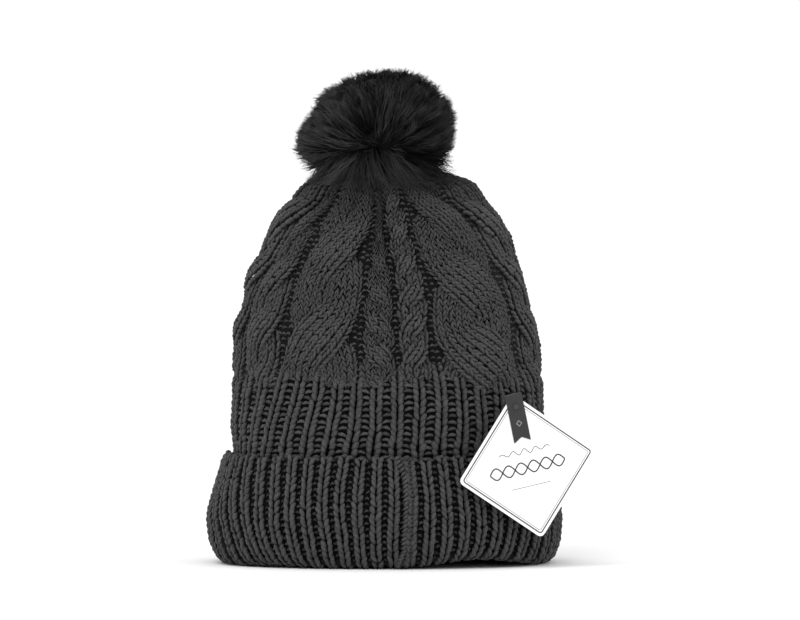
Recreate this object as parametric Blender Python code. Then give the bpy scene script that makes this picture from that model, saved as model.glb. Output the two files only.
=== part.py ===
"""Cable-knit pom pom beanie with a turn-up cuff and a paper hang tag.

Metres, +Z up, front towards -Y. The origin is the centre of the head opening, on the
plane that the folded cuff stands on.
"""

import math

import bpy
import numpy as np
from mathutils import Vector

# Driving dimensions
WALL = 0.005  # thickness of the knit
GAP = 0.0003  # between pieces that touch
ROUNDNESS = 2.3  # exponent of the superellipse that every level of the hat follows
HAT_SIDES = 48

# The knit tube's outline: height, left edge, right edge, depth over width
HAT_LEVELS = (
    (0.0040, -0.0965, 0.0965, 0.70),
    (0.0300, -0.0965, 0.0965, 0.70),
    (0.0740, -0.0968, 0.0968, 0.70),
    (0.0850, -0.0978, 0.0995, 0.70),
    (0.1050, -0.0970, 0.1005, 0.70),
    (0.1300, -0.0955, 0.0980, 0.71),
    (0.1540, -0.0935, 0.0945, 0.72),
    (0.1750, -0.0880, 0.0900, 0.74),
    (0.1950, -0.0805, 0.0825, 0.77),
    (0.2150, -0.0715, 0.0750, 0.80),
    (0.2300, -0.0600, 0.0640, 0.83),
    (0.2400, -0.0520, 0.0550, 0.86),
    (0.2445, -0.0420, 0.0410, 0.90),
    (0.2470, -0.0260, 0.0200, 0.95),
    (0.2475, -0.0080, 0.0000, 1.00),
)

# The turned-up cuff's section: distance out from the tube it covers, height
CUFF_TUBE = (0.0975, 0.0683)  # half width and half depth of that tube
CUFF_HEIGHT = 0.070
CUFF_OUTSIDE = (
    (0.0065, CUFF_HEIGHT),
    (0.0095, 0.058),
    (0.0135, 0.044),
    (0.0155, 0.033),
    (0.0148, 0.020),
    (0.0125, 0.010),
    (0.0085, 0.003),
    (0.0040, 0.000),
)
CUFF_INSIDE = (
    (-0.0020, 0.000),
    (-0.0040, 0.0016),
    (0.0020, 0.0036),
    (0.0070, 0.0090),
    (0.0092, 0.0200),
    (0.0098, 0.0330),
    (0.0078, 0.0440),
    (0.0040, 0.0580),
    (0.0012, 0.0695),
)
ARCH_HEIGHT = 0.0055  # the fold is lifted off the ground at the front right
ARCH_X = 0.057
ARCH_HALF_WIDTH = 0.045

# Pom and the parts that hold it, all on the crown's axis
CROWN_X = -0.004
CROWN_TOP = HAT_LEVELS[-1][0]
POM_PIVOT = Vector((CROWN_X, 0.0, CROWN_TOP + 0.001))
POM_SIDES = 36
POM_MOUTH = 0.0055
POM_BASE = CROWN_TOP + 0.003
POM_OUTSIDE = (  # radius, height
    (POM_MOUTH, POM_BASE),
    (0.010, 0.2518),
    (0.025, 0.2572),
    (0.040, 0.2635),
    (0.049, 0.2740),
    (0.0505, 0.2850),
    (0.047, 0.2985),
    (0.038, 0.3100),
    (0.024, 0.3160),
    (0.010, 0.3178),
)
POM_TOP = 0.3180
POM_INSIDE = (
    (0.0180, 0.3035),
    (0.0290, 0.2980),
    (0.0360, 0.2905),
    (0.0385, 0.2840),
    (0.0370, 0.2775),
    (0.0305, 0.2700),
    (0.0220, 0.2645),
    (0.0120, 0.2542),
    (POM_MOUTH, 0.2535),
)
POM_INSIDE_TOP = 0.3055
POM_FABRIC_GAP = 0.0005
POM_EQUATOR = 0.2850
POM_GATHER_HEIGHT = 0.2524
POM_SOCKET = 0.0078  # hollow in the filling where the tie cord's knot swings
POM_SOCKET_TOP = 0.2660
BASE_DISC = (0.0105, 0.0012)  # radius, thickness
BASE_DISC_BORE = 0.0034
BASE_DISC_BOTTOM = 0.2544
CORD_RADIUS = 0.0011
CORD_KNOT = 0.0040
CORD_KNOT_HEIGHT = 0.2603
BUTTON = (0.0090, 0.0028)
BUTTON_TOP = 0.2390
BUTTON_KNOT = 0.0026
CROWN_RING = (0.0065, 0.0011)  # ring radius, yarn radius

# Seams, label and hang tag
SEAM_ROUTE = (  # x and height of the seam, from the cuff's free edge to the crown
    (0.0115, 0.0300),
    (0.0115, 0.0700),
    (0.0096, 0.1100),
    (0.0080, 0.1500),
    (0.0030, 0.1900),
    (-0.0010, 0.2250),
    (-0.0025, 0.2350),
)
SEAM_RADIUS = 0.0014
CUFF_SEAM_TOP_X, CUFF_SEAM_X, CUFF_SEAM_FOOT_X = 0.0064, 0.0115, 0.0075
LABEL = (0.030, 0.0006, 0.022)
LABEL_CENTRE = (0.0, 0.0605, 0.045)
LABEL_STITCH = (0.0010, 0.0005, 0.008)
TAG_SIDE = 0.065
TAG_THICKNESS = 0.0005
TAG_CORNER = 0.0032
TAG_HOLE = Vector((0.0813, -0.0735, 0.1011))
TAG_HOLE_RADIUS = 0.0011
TAG_CENTRE_DROP = 0.0378  # from the hole to the middle of the card
TAG_YAW = math.radians(17.0)
TAG_LEAN = math.radians(-12.0)
RIBBON_WIDTH = 0.011
RIBBON_THICKNESS = 0.0004
RIBBON_FRONT, RIBBON_BACK = 0.0295, 0.022
RIBBON_NOTCH = 0.003
PIN_RADIUS = 0.0004
PIN_HEAD = 0.0017
PIN_BAR = (0.0005, 0.008)
PIN_X, PIN_Z = 0.078, 0.104


def clear_scene():
    for old in list(bpy.data.objects):
        bpy.data.objects.remove(old, do_unlink=True)


def principled(name, colour, roughness):
    material = bpy.data.materials.new(name)
    material.use_nodes = True
    shader = material.node_tree.nodes["Principled BSDF"]
    shader.inputs["Base Color"].default_value = (*colour, 1.0)
    shader.inputs["Roughness"].default_value = roughness
    shader.inputs["Metallic"].default_value = 0.0
    material.diffuse_color = (*colour, 1.0)
    return material


def add_object(name, points, faces, material, origin=(0, 0, 0)):
    """A mesh object from points in world space, with its origin at a chosen point."""
    origin = Vector(origin)
    mesh = bpy.data.meshes.new(name)
    mesh.from_pydata([Vector(p) - origin for p in points], [], faces)
    mesh.materials.append(material)
    mesh.shade_smooth()
    mesh.set_sharp_from_angle(angle=math.radians(50))
    obj = bpy.data.objects.new(name, mesh)
    obj.location = origin
    bpy.context.scene.collection.objects.link(obj)
    return obj


def joined_rings(rings, closed):
    """Quads between rings of equal length; closed joins the last ring to the first."""
    sides = len(rings[0])
    points = [p for ring in rings for p in ring]
    faces = []
    steps = len(rings) if closed else len(rings) - 1
    for i in range(steps):
        a, b = i * sides, (i + 1) % len(rings) * sides
        for j in range(sides):
            k = (j + 1) % sides
            faces.append((a + j, a + k, b + k, b + j))
    return points, faces


def lathe(name, profile, material, axis_x=CROWN_X, sides=24, origin=(0, 0, 0)):
    """A turned solid: a closed profile of (radius, height), with radius 0 as a pole."""
    rings = []
    points, faces = [], []
    for radius, height in profile:
        if radius == 0:
            rings.append([len(points)])
            points.append((axis_x, 0, height))
            continue
        rings.append(list(range(len(points), len(points) + sides)))
        for j in range(sides):
            turn = 2 * math.pi * j / sides
            points.append((axis_x + radius * math.cos(turn), radius * math.sin(turn), height))
    for ring, following in zip(rings, rings[1:] + rings[:1]):
        for j in range(sides):
            k = (j + 1) % sides
            if len(ring) == 1 and len(following) == 1:
                break
            if len(ring) == 1:
                faces.append((ring[0], following[k], following[j]))
            elif len(following) == 1:
                faces.append((ring[j], ring[k], following[0]))
            else:
                faces.append((ring[j], ring[k], following[k], following[j]))
    return add_object(name, points, faces, material, origin)


def tube(name, route, radii, material, sides=8, closed=False, origin=(0, 0, 0)):
    """A round bar along a route, with its own radius at each point and flat ends."""
    route = [Vector(p) for p in route]
    rings = []
    side = None
    for i, point in enumerate(route):
        before = route[i - 1] if i or closed else point
        after = route[(i + 1) % len(route)] if closed or i + 1 < len(route) else point
        along = (after - before).normalized()
        if side is None:
            side = along.orthogonal().normalized()
        side = (side - along * side.dot(along)).normalized()
        up = along.cross(side)
        turns = [2 * math.pi * j / sides for j in range(sides)]
        rings.append([point + radii[i] * (math.cos(t) * side + math.sin(t) * up) for t in turns])
    points, faces = joined_rings(rings, closed)
    if not closed:
        last = (len(rings) - 1) * sides
        faces.append(tuple(reversed(range(sides))))
        faces.append(tuple(range(last, last + sides)))
    return add_object(name, points, faces, material, origin)


def knotted_cord(name, start, end, knot_height, knot_radius, material, origin):
    """A straight vertical cord with a round knot part way along."""
    heights = [start, knot_height - knot_radius]
    radii = [CORD_RADIUS, CORD_RADIUS]
    for step in range(1, 6):
        turn = math.pi * step / 6
        heights.append(knot_height - knot_radius * math.cos(turn))
        radii.append(max(CORD_RADIUS, knot_radius * math.sin(turn)))
    heights += [knot_height + knot_radius, end]
    radii += [CORD_RADIUS, CORD_RADIUS]
    route = [(CROWN_X, 0, height) for height in heights]
    return tube(name, route, radii, material, sides=10, origin=origin)


def block(name, size, centre, material):
    sx, sy, sz = (s / 2 for s in size)
    points = [
        (centre[0] + x * sx, centre[1] + y * sy, centre[2] + z * sz)
        for z in (-1, 1)
        for x, y in ((-1, -1), (1, -1), (1, 1), (-1, 1))
    ]
    faces = [(3, 2, 1, 0), (4, 5, 6, 7)]
    faces += [(j, (j + 1) % 4, (j + 1) % 4 + 4, j + 4) for j in range(4)]
    return add_object(name, points, faces, material, centre)


def superellipse(half_width, half_depth, turn):
    c, s = math.cos(turn), math.sin(turn)
    power = 2 / ROUNDNESS
    return (
        half_width * math.copysign(abs(c) ** power, c),
        half_depth * math.copysign(abs(s) ** power, s),
    )


def arch(x, y, height, top):
    """How far the fold is lifted here; it fades out towards the given height."""
    if y >= 0 or height >= top:
        return 0.0
    across = (x - ARCH_X) / ARCH_HALF_WIDTH
    if abs(across) >= 1:
        return 0.0
    return ARCH_HEIGHT * (0.5 + 0.5 * math.cos(math.pi * across)) * (1 - height / top)


def hat_ring(centre_x, half_width, half_depth, height):
    ring = []
    for j in range(HAT_SIDES):
        x, y = superellipse(half_width, half_depth, 2 * math.pi * j / HAT_SIDES)
        x += centre_x
        ring.append((x, y, height + arch(x, y, height, CUFF_HEIGHT)))
    return ring


def hat_sections(inset):
    """(centre x, half width, half depth, height) of each level, inset along the normal."""
    levels = np.array(HAT_LEVELS)
    heights = levels[:, 0]
    widths = (levels[:, 2] - levels[:, 1]) / 2
    centres = (levels[:, 2] + levels[:, 1]) / 2
    slopes = np.gradient(widths), np.gradient(heights)
    length = np.hypot(*slopes)
    outward, upward = slopes[1] / length, -slopes[0] / length
    outward[-1], upward[-1] = 0.0, 1.0
    outward[0], upward[0] = 1.0, 0.0
    depths = widths * levels[:, 3] - inset * outward
    return list(zip(centres, widths - inset * outward, depths, heights - inset * upward))


def wall_point(x, height, inset):
    """A point of the front wall at this x and height, inset from the outside."""
    sections = np.array(hat_sections(inset))
    centre, width, depth = (
        np.interp(height, sections[:, 3], sections[:, column]) for column in range(3)
    )
    across = min(1.0, abs(x - centre) / width)
    return Vector((x, -depth * (1 - across**ROUNDNESS) ** (1 / ROUNDNESS), height))


def cuff_point(x, out, height):
    """A point of the cuff's front at this x, this far out from the tube it covers."""
    half_width, half_depth = CUFF_TUBE[0] + out, CUFF_TUBE[1] + out
    y = -half_depth * (1 - (abs(x) / half_width) ** ROUNDNESS) ** (1 / ROUNDNESS)
    return Vector((x, y, height + arch(x, y, height, CUFF_HEIGHT)))


def empty(name, place):
    pivot = bpy.data.objects.new(name, None)
    pivot.location = place
    pivot.empty_display_size = 0.01
    bpy.context.scene.collection.objects.link(pivot)
    return pivot


def hold(pivot, *objects):
    """Parents objects to a pivot and keeps them where they are."""
    for obj in objects:
        obj.parent = pivot
        obj.matrix_parent_inverse = pivot.matrix_world.inverted()


def cut(obj, cutter, operation="DIFFERENCE"):
    cutter.hide_render = True
    cutter.display_type = "WIRE"
    modifier = obj.modifiers.new(cutter.name, "BOOLEAN")
    modifier.operation = operation
    modifier.object = cutter


def make_knit(yarn, pin_cutter):
    outside = [hat_ring(*section) for section in hat_sections(0.0)]
    inside = [hat_ring(*section) for section in reversed(hat_sections(WALL))]
    points, faces = joined_rings(outside + inside, closed=True)
    body = add_object("knit_body", points, faces, yarn)
    cut(body, pin_cutter)
    return body


def make_cuff(yarn):
    rings = [
        hat_ring(0.0, CUFF_TUBE[0] + out, CUFF_TUBE[1] + out, height)
        for out, height in reversed(CUFF_OUTSIDE + CUFF_INSIDE)
    ]
    points, faces = joined_rings(rings, closed=True)
    return add_object("turn_up_cuff", points, faces, yarn)


def make_seams(yarn):
    inset = WALL + GAP + SEAM_RADIUS
    xs, heights = zip(*SEAM_ROUTE)
    steps = np.linspace(heights[0], heights[-1], 16)
    route = [wall_point(np.interp(z, heights, xs), z, inset) for z in steps]
    body_seam = tube("body_seam", route, [SEAM_RADIUS] * len(route), yarn, sides=6)

    stand_off = GAP + SEAM_RADIUS + 0.0004
    outs, levels = zip(*CUFF_OUTSIDE[:-2])
    cuff_xs = np.interp(levels, (0.010, 0.020, 0.058, 0.070),
                        (CUFF_SEAM_FOOT_X, CUFF_SEAM_X, CUFF_SEAM_X, CUFF_SEAM_TOP_X))
    route = [cuff_point(x, out + stand_off, z) for x, out, z in zip(cuff_xs, outs, levels)]
    cuff_seam = tube("cuff_seam", route, [SEAM_RADIUS] * len(route), yarn, sides=6)
    return body_seam, cuff_seam


def make_crown_ring(yarn):
    radius, thickness = CROWN_RING
    height = CROWN_TOP - WALL - GAP - thickness - 0.0004
    turns = [2 * math.pi * j / 20 for j in range(20)]
    route = [(CROWN_X + radius * math.cos(t), radius * math.sin(t), height) for t in turns]
    return tube("crown_gather_yarn", route, [thickness] * 20, yarn, sides=6, closed=True)


def make_pom(fur, filling, thread, plastic):
    cover = lathe(
        "pom_fur_cover",
        POM_OUTSIDE + ((0, POM_TOP), (0, POM_INSIDE_TOP)) + POM_INSIDE,
        fur, sides=POM_SIDES, origin=POM_PIVOT,
    )
    inner = [
        (radius - POM_FABRIC_GAP, height + POM_FABRIC_GAP * (1 if height < POM_EQUATOR else -1))
        for radius, height in reversed(POM_INSIDE[:-2])
    ]
    bottom = BASE_DISC_BOTTOM + BASE_DISC[1] + GAP
    stuffing = lathe(
        "pom_filling",
        [(POM_SOCKET, bottom), (BASE_DISC[0], bottom)] + inner
        + [(0, POM_INSIDE_TOP - POM_FABRIC_GAP), (0, POM_SOCKET_TOP),
           (POM_SOCKET, POM_SOCKET_TOP)],
        filling, sides=28, origin=POM_PIVOT,
    )
    disc = lathe(
        "pom_base_disc",
        [(BASE_DISC_BORE, BASE_DISC_BOTTOM), (BASE_DISC[0], BASE_DISC_BOTTOM),
         (BASE_DISC[0], BASE_DISC_BOTTOM + BASE_DISC[1]),
         (BASE_DISC_BORE, BASE_DISC_BOTTOM + BASE_DISC[1])],
        plastic, sides=20, origin=POM_PIVOT,
    )
    turns = [2 * math.pi * j / 20 for j in range(20)]
    radius = POM_MOUTH - GAP - 0.0006
    route = [(CROWN_X + radius * math.cos(t), radius * math.sin(t), POM_GATHER_HEIGHT) for t in turns]
    gather = tube("pom_gather_thread", route, [0.0005] * 20, thread, sides=6, closed=True,
                  origin=POM_PIVOT)
    return cover, stuffing, disc, gather


def make_tie(cord, plastic):
    upper = knotted_cord("tie_cord_upper", POM_PIVOT.z + GAP / 2, CORD_KNOT_HEIGHT + 0.0048,
                         CORD_KNOT_HEIGHT, CORD_KNOT, cord, POM_PIVOT)
    knot_height = BUTTON_TOP - BUTTON[1] - GAP - BUTTON_KNOT
    lower = knotted_cord("tie_cord_lower", knot_height - BUTTON_KNOT - 0.004,
                         POM_PIVOT.z - GAP / 2, knot_height, BUTTON_KNOT, cord, POM_PIVOT)
    radius, thickness = BUTTON
    bore = CORD_RADIUS + GAP
    button = lathe(
        "anchor_button",
        [(bore, BUTTON_TOP - thickness), (radius - 0.001, BUTTON_TOP - thickness),
         (radius, BUTTON_TOP - thickness + 0.001), (radius, BUTTON_TOP - 0.001),
         (radius - 0.001, BUTTON_TOP), (bore, BUTTON_TOP)],
        plastic,
    )
    return upper, lower, button


def make_label(satin, thread):
    label = block("care_label", LABEL, LABEL_CENTRE, satin)
    stitches = []
    for name, side in (("label_stitch_left", -1), ("label_stitch_right", 1)):
        centre = (side * (LABEL[0] / 2 - 0.002),
                  LABEL_CENTRE[1] - (LABEL[1] + LABEL_STITCH[1]) / 2 - GAP,
                  LABEL_CENTRE[2] + 0.005)
        stitches.append(block(name, LABEL_STITCH, centre, thread))
    return label, *stitches


def place_on_tag(obj):
    """Turns and moves a piece from the tag's own frame, whose origin is its hole."""
    obj.location = TAG_HOLE
    obj.rotation_euler = (0, TAG_LEAN, TAG_YAW)


def make_tag(card_stock, ribbon_stock):
    half_diagonal = TAG_SIDE / math.sqrt(2)
    outline = []
    for corner in range(4):
        middle = math.pi / 2 * corner + math.pi / 2
        reach = half_diagonal - TAG_CORNER * math.sqrt(2)
        centre = reach * math.cos(middle), reach * math.sin(middle) - TAG_CENTRE_DROP
        for step in range(5):
            turn = middle - math.pi / 4 + math.pi / 8 * step
            outline.append((centre[0] + TAG_CORNER * math.cos(turn),
                            centre[1] + TAG_CORNER * math.sin(turn)))
    rings = [[(x, y, z) for x, z in outline] for y in (TAG_THICKNESS / 2, -TAG_THICKNESS / 2)]
    points, faces = joined_rings(rings, closed=False)
    sides = len(outline)
    faces += [tuple(reversed(range(sides))), tuple(range(sides, 2 * sides))]
    card = add_object("tag_card", points, faces, card_stock)

    tip = half_diagonal - TAG_CENTRE_DROP - 0.0008
    stand_off = TAG_THICKNESS / 2 + GAP + RIBBON_THICKNESS / 2
    route = [(-stand_off, tip - RIBBON_FRONT), (-stand_off, tip)]
    for step in range(1, 6):
        turn = math.pi * step / 6
        route.append((-stand_off * math.cos(turn), tip + stand_off * math.sin(turn)))
    route += [(stand_off, tip), (stand_off, tip - RIBBON_BACK)]
    rings = []
    for i, (y, z) in enumerate(route):
        before, after = route[max(i - 1, 0)], route[min(i + 1, len(route) - 1)]
        along = Vector((after[0] - before[0], after[1] - before[1])).normalized()
        ny, nz = along.y * RIBBON_THICKNESS / 2, -along.x * RIBBON_THICKNESS / 2
        ring = []
        for sign in (1, -1):
            for across in (-sign, 0, sign):
                notch = RIBBON_NOTCH if i == 0 and across == 0 else 0
                ring.append((across * RIBBON_WIDTH / 2, y - sign * ny, z - sign * nz + notch))
        rings.append(ring)
    points, faces = joined_rings(rings, closed=False)
    last = len(points) - 6
    for a, flip in ((0, True), (last, False)):
        for quad in ((a, a + 1, a + 4, a + 5), (a + 1, a + 2, a + 3, a + 4)):
            faces.append(tuple(reversed(quad)) if flip else quad)
    ribbon = add_object("tag_ribbon", points, faces, ribbon_stock)

    hole = tube("tag_hole_cutter", [(0, -0.004, 0), (0, 0.004, 0)], [TAG_HOLE_RADIUS] * 2,
                card_stock, sides=12)
    for piece in (card, ribbon):
        cut(piece, hole)
    for piece in (card, ribbon, hole):
        place_on_tag(piece)
    return card, ribbon


def pin_places():
    """Where the tag pin enters the knit, and the direction out of it there."""
    outside = wall_point(PIN_X, PIN_Z, 0.0)
    beside = wall_point(PIN_X + 0.001, PIN_Z, 0.0)
    run = beside - outside
    return outside, Vector((-run.y, run.x, 0)).normalized() * -1


def make_pin(nylon):
    """The nylon tag pin: a flexible thread outside, and a stem with a cross bar inside."""
    place, out = pin_places()
    normal = Vector((math.sin(TAG_YAW), -math.cos(TAG_YAW), 0))  # out of the card's front
    layers = TAG_THICKNESS / 2 + GAP + RIBBON_THICKNESS
    bend = TAG_HOLE - normal * 0.003
    head = TAG_HOLE + normal * (layers + GAP)
    start = place + out * GAP
    route = [start, start + out * 0.004, start.lerp(bend, 0.4) + out * 0.004,
             start.lerp(bend, 0.75) + out * 0.0015, bend, TAG_HOLE,
             head - normal * 0.00001, head, head + normal * 0.0006]
    radii = [PIN_RADIUS] * (len(route) - 2) + [PIN_HEAD] * 2
    thread = tube("tag_pin_thread", route, radii, nylon, sides=8, origin=place)

    inner = -out * (WALL + GAP + PIN_BAR[0] + 0.0005)
    stem = tube("tag_pin_bar", [place, place + inner], [PIN_RADIUS] * 2, nylon)
    bar_ends = [place + inner + Vector((0, 0, side * PIN_BAR[1] / 2)) for side in (-1, 1)]
    bar = tube("tag_pin_bar_join", bar_ends, [PIN_BAR[0]] * 2, nylon, sides=10)
    cut(stem, bar, "UNION")
    return thread, stem


def pin_cutter(nylon):
    place, out = pin_places()
    return tube("pin_hole_cutter", [place + out * 0.004, place - out * 0.012],
                [PIN_RADIUS + GAP] * 2, nylon, sides=10)


def main():
    clear_scene()
    yarn = principled("knit_yarn", (0.070, 0.070, 0.072), 0.95)
    fur = principled("faux_fur", (0.020, 0.020, 0.021), 0.8)
    filling = principled("fibre_filling", (0.75, 0.75, 0.73), 0.95)
    thread = principled("thread", (0.05, 0.05, 0.05), 0.8)
    cord = principled("elastic_cord", (0.03, 0.03, 0.03), 0.7)
    plastic = principled("black_plastic", (0.03, 0.03, 0.03), 0.4)
    satin = principled("label_satin", (0.85, 0.85, 0.83), 0.5)
    card_stock = principled("white_card", (0.92, 0.92, 0.92), 0.55)
    ribbon_stock = principled("grey_ribbon", (0.051, 0.051, 0.053), 0.6)
    nylon = principled("nylon", (0.02, 0.02, 0.02), 0.3)

    knit = make_knit(yarn, pin_cutter(nylon))
    cuff = make_cuff(yarn)
    body_seam, cuff_seam = make_seams(yarn)
    crown_ring = make_crown_ring(yarn)
    pom_pieces = make_pom(fur, filling, thread, plastic)
    upper, lower, button = make_tie(cord, plastic)
    label_pieces = make_label(satin, thread)
    tag_pieces = make_tag(card_stock, ribbon_stock)
    pin_thread, pin_bar = make_pin(nylon)

    bpy.context.view_layer.update()
    cuff_fold = empty("cuff_fold", (0, 0, 0))
    hat = empty("hat_slide", (0, 0, 0))
    side_tilt = empty("pom_side_tilt", POM_PIVOT)
    nod = empty("pom_nod", POM_PIVOT)
    lift = empty("tag_lift", pin_places()[0])
    swing = empty("tag_swing", TAG_HOLE)
    bpy.context.view_layer.update()
    hold(cuff_fold, cuff, cuff_seam)
    hold(hat, knit, body_seam, crown_ring, lower, button, pin_bar, *label_pieces)
    hold(side_tilt, upper)
    hold(nod, *pom_pieces)
    hold(lift, pin_thread)
    hold(swing, *tag_pieces)


main()
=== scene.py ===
"""Looks of the pom pom beanie: stitches, cables, ribbing, fur, hang tag, light and camera."""

import math

import bpy
import numpy as np
from mathutils import Matrix, Vector


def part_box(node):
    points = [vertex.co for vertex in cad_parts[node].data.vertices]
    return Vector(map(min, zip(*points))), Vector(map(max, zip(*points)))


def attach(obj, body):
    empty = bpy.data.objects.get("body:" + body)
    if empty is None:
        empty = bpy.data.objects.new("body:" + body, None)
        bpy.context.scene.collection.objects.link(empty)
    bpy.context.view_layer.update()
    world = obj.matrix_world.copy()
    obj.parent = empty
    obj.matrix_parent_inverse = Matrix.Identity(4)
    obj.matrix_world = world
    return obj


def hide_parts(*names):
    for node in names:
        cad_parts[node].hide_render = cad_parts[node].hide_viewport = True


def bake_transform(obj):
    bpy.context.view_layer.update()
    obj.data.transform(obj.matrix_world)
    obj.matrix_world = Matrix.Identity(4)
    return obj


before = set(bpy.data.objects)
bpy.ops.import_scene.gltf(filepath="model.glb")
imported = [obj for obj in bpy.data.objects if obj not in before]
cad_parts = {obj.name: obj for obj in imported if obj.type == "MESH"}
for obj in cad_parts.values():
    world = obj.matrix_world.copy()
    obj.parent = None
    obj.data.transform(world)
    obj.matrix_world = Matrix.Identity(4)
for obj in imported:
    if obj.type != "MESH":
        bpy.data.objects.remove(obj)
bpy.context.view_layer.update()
rng = np.random.default_rng(7)

# ---------------------------------------- shape of the hat, as in the frame
ROUNDNESS = 2.3
HAT_LEVELS = np.array((  # height, left edge, right edge, depth over width
    (0.0040, -0.0965, 0.0965, 0.70),
    (0.0300, -0.0965, 0.0965, 0.70),
    (0.0740, -0.0968, 0.0968, 0.70),
    (0.0850, -0.0978, 0.0995, 0.70),
    (0.1050, -0.0970, 0.1005, 0.70),
    (0.1300, -0.0955, 0.0980, 0.71),
    (0.1540, -0.0935, 0.0945, 0.72),
    (0.1750, -0.0880, 0.0900, 0.74),
    (0.1950, -0.0805, 0.0825, 0.77),
    (0.2150, -0.0715, 0.0750, 0.80),
    (0.2300, -0.0600, 0.0640, 0.83),
    (0.2400, -0.0520, 0.0550, 0.86),
    (0.2445, -0.0420, 0.0410, 0.90),
    (0.2470, -0.0260, 0.0200, 0.95),
    (0.2475, -0.0080, 0.0000, 1.00),
))
CUFF_TUBE = (0.0975, 0.0683)
CUFF_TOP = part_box("turn_up_cuff")[1][2]
CUFF_SECTION = np.array((  # out from the tube, height, from under the fold to the free edge
    (-0.0020, 0.0012),
    (0.0040, 0.0008),
    (0.0085, 0.0030),
    (0.0125, 0.0100),
    (0.0148, 0.0200),
    (0.0155, 0.0330),
    (0.0135, 0.0440),
    (0.0095, 0.0580),
    (0.0060, 0.0680),
    (0.0040, 0.0715),
))
ARCH_HEIGHT, ARCH_X, ARCH_HALF_WIDTH = 0.0055, 0.057, 0.045
ARCH_DEPTH = 0.02  # it fades out over this much of the depth, towards the sides
PITCH = 0.0038  # height of a rib's stitch
CABLE_PITCH = 0.0034  # and of a cable's
LEG_LEAN = 0.38  # a stitch's leg leans outwards by this much of its height
LEG_TILT = 0.13  # and its top dives under the stitch above by this much
LEG_LENGTH, LEG_WIDTH = 0.92, 0.205  # half length over the pitch, half width over the column's
LEG_HEIGHT = 0.00135
BAND_TOP = 0.114  # the ribbing below, the cables above

LOW_RATIO, HIGH_RATIO = 0.6, 1.0  # depth over width, between which girths are worked out
PART_STEP, UP_STEP = 0.006, 0.001  # steps round and up a surface that give its slopes
PATH_STEP = 0.0006  # between the points of a column's path
AHEAD = 0.002  # a column's direction is taken over this much of its path either way


def hermite(x, xs, ys):
    """A smooth curve through (xs, ys)."""
    slopes = np.gradient(ys, xs)
    x = np.clip(x, xs[0], xs[-1])
    i = np.clip(np.searchsorted(xs, x) - 1, 0, len(xs) - 2)
    step = xs[i + 1] - xs[i]
    t = (x - xs[i]) / step
    return (
        ys[i] * (2 * t**3 - 3 * t**2 + 1)
        + ys[i + 1] * (3 * t**2 - 2 * t**3)
        + step * slopes[i] * (t**3 - 2 * t**2 + t)
        + step * slopes[i + 1] * (t**3 - t**2)
    )


def girth_table(ratios=21, samples=401):
    """For each depth over width, the superellipse's x and y at even steps along a quarter."""
    table = np.zeros((ratios, samples, 2))
    turn = np.linspace(0, math.pi / 2, 4001)
    for row, ratio in enumerate(np.linspace(LOW_RATIO, HIGH_RATIO, ratios)):
        x = np.sin(turn) ** (2 / ROUNDNESS)
        y = np.cos(turn).clip(0) ** (2 / ROUNDNESS)
        run = np.concatenate([[0], np.cumsum(np.hypot(np.diff(x), ratio * np.diff(y)))])
        even = np.linspace(0, run[-1], samples)
        table[row, :, 0] = np.interp(even, run, x)
        table[row, :, 1] = np.interp(even, run, y)
    return table


GIRTH = girth_table()


def girth_point(ratio, part):
    """Unit x and y at this part (0 front or back, 1 side) of a quarter."""
    r = np.clip((ratio - LOW_RATIO) / (HIGH_RATIO - LOW_RATIO), 0, 1) * (len(GIRTH) - 1)
    s = np.clip(part, 0, 1) * (GIRTH.shape[1] - 1)
    r0 = np.minimum(r.astype(int), len(GIRTH) - 2)
    s0 = np.minimum(s.astype(int), GIRTH.shape[1] - 2)
    fr, fs = (r - r0)[..., None], (s - s0)[..., None]
    low = GIRTH[r0, s0] * (1 - fs) + GIRTH[r0, s0 + 1] * fs
    high = GIRTH[r0 + 1, s0] * (1 - fs) + GIRTH[r0 + 1, s0 + 1] * fs
    return low * (1 - fr) + high * fr


def arch(x, y, z):
    """How far the fold is lifted off the ground at the front right."""
    across = np.clip((x - ARCH_X) / ARCH_HALF_WIDTH, -1, 1)
    lift = ARCH_HEIGHT * (0.5 + 0.5 * np.cos(math.pi * across)) * np.clip(1 - z / CUFF_TOP, 0, 1)
    return np.where(y < 0, lift * np.clip(-y / ARCH_DEPTH, 0, 1), 0.0)


RIPPLES = 8  # soft unevenness of the knit, in and out and sideways
RIPPLE_TURNS = rng.integers(1, 9, RIPPLES)
RIPPLE_RISE = rng.uniform(-140, 140, RIPPLES)  # radians for each metre up
RIPPLE_PHASE = rng.uniform(0, 2 * math.pi, RIPPLES)
RIPPLE_OUT, RIPPLE_ROUND = 0.00028, 0.0022


def ripple(up, part):
    """Two soft random waves over a tube, each of size about 1."""
    turn = np.multiply.outer(np.asarray(part) * math.pi / 2, RIPPLE_TURNS)
    wave = turn + np.multiply.outer(np.asarray(up), RIPPLE_RISE) + RIPPLE_PHASE
    return np.sin(wave).sum(axis=-1), np.cos(wave + RIPPLE_PHASE).sum(axis=-1) / 2


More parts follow.
